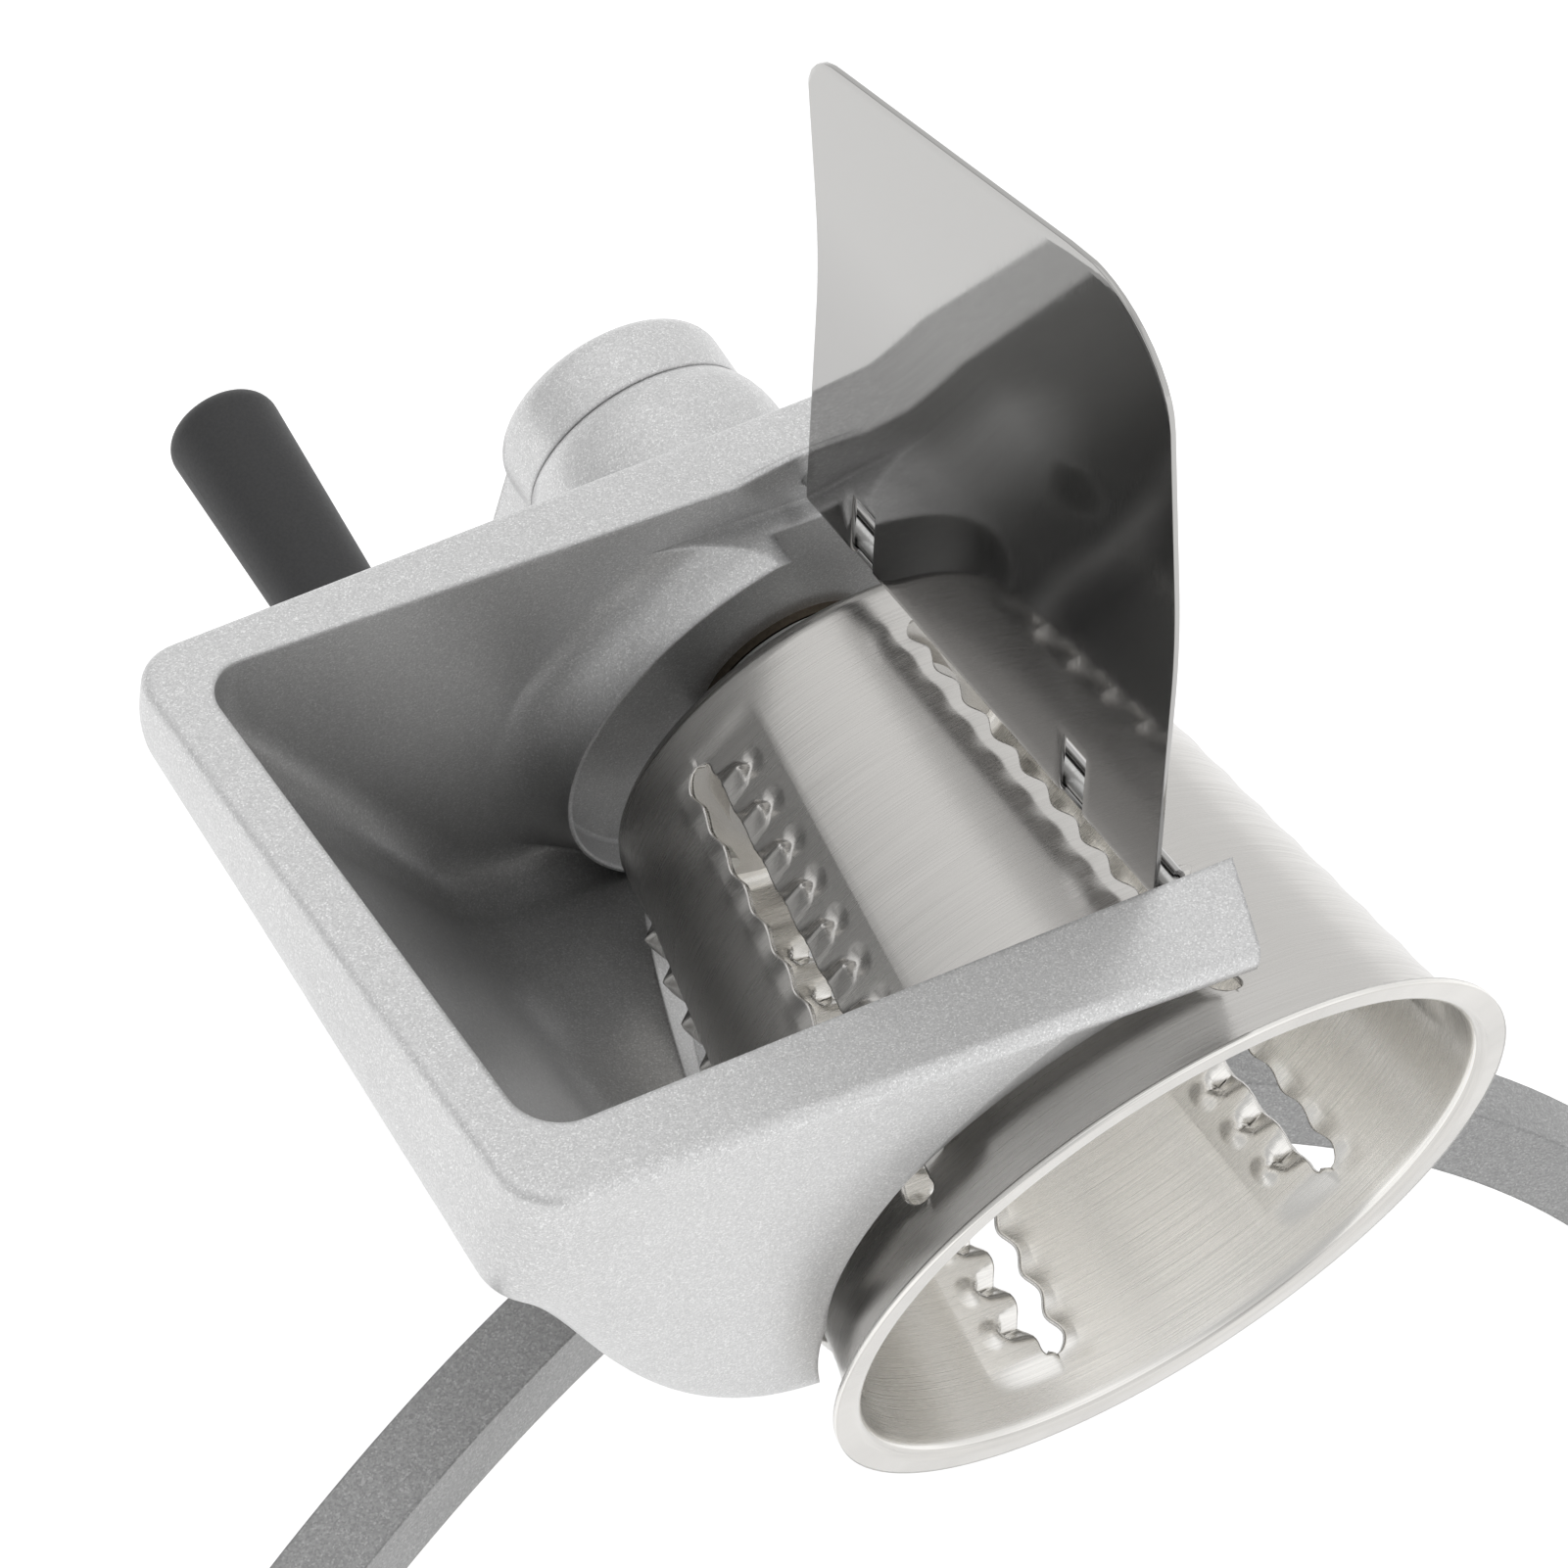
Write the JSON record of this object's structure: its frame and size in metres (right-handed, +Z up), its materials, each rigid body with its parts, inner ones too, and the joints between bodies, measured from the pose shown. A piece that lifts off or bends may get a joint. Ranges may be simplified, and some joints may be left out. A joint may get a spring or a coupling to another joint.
{
  "type": "rotary grater",
  "caption": "Hand-cranked tripod grater: cast side hopper, tilted conical drum with toothed slots, crank with turning grip and hinged sheet-steel food guard.",
  "frame": {"origin": "point on the floor below the middle of the machine's bounding box", "axes": "+Z up, -Y the way the drum's mouth faces, -X toward the hopper"},
  "size_m": [0.3612, 0.2773, 0.3112],
  "materials": {
    "cast_body": "fine satin cast surface",
    "legs": "satin grey",
    "feet": "matte",
    "drum": "fine circular brushing",
    "guard": "mirror polished steel sheet",
    "grip": "matte black",
    "shaft": "turned steel",
    "fasteners": "zinc plated",
    "bushes": "plain bearing bronze"
  },
  "bodies": {
    "base": {"hopper_body": "cast_body", "leg_bracket": "cast_body", "bracket_bolts": "fasteners", "front_left_leg": "legs", "front_right_leg": "legs", "rear_leg": "legs", "foot_front_left": "feet", "foot_front_right": "feet", "foot_rear": "feet", "leg_washers": "fasteners", "leg_bolts": "fasteners", "front_bush": "bushes", "rear_bush": "bushes", "thrust_washer": "bushes", "guard_rod": "shaft"},
    "crank_unit": {"drive_shaft": "shaft", "drive_collar": "shaft", "crank_arm": "cast_body", "crank_washer": "fasteners", "crank_screw": "fasteners", "grip_spindle": "shaft", "spindle_nut": "fasteners", "grip_washer": "fasteners"},
    "grip": {"handle_grip": "grip"},
    "drum_unit": {"drum_shell": "drum", "drum_end_disc": "drum", "drum_hub": "drum", "hub_rivets": "fasteners", "ring_rivets": "fasteners"},
    "guard": {"food_guard": "guard"}
  },
  "joints": [
    {"name": "crank_spin", "type": "hinge", "parent": "base", "child": "crank_unit", "pos_m": [0, -0.1295, 0.15], "axis": [0, 0.9863, 0.165], "continuous": true},
    {"name": "grip_spin", "type": "hinge", "parent": "crank_unit", "child": "grip", "pos_m": [-0.00978, 0.08451, 0.08287], "axis": [0, 0.9863, 0.165], "continuous": true},
    {"name": "drum_release", "type": "slide", "parent": "crank_unit", "child": "drum_unit", "axis": [0, -0.9863, -0.165], "range_m": [0, 0.12]},
    {"name": "guard_swing", "type": "hinge", "parent": "base", "child": "guard", "pos_m": [-0.0044, -0.0725, 0.2119], "axis": [0, -1, 0], "range_deg": [-25, 72]}
  ]
}
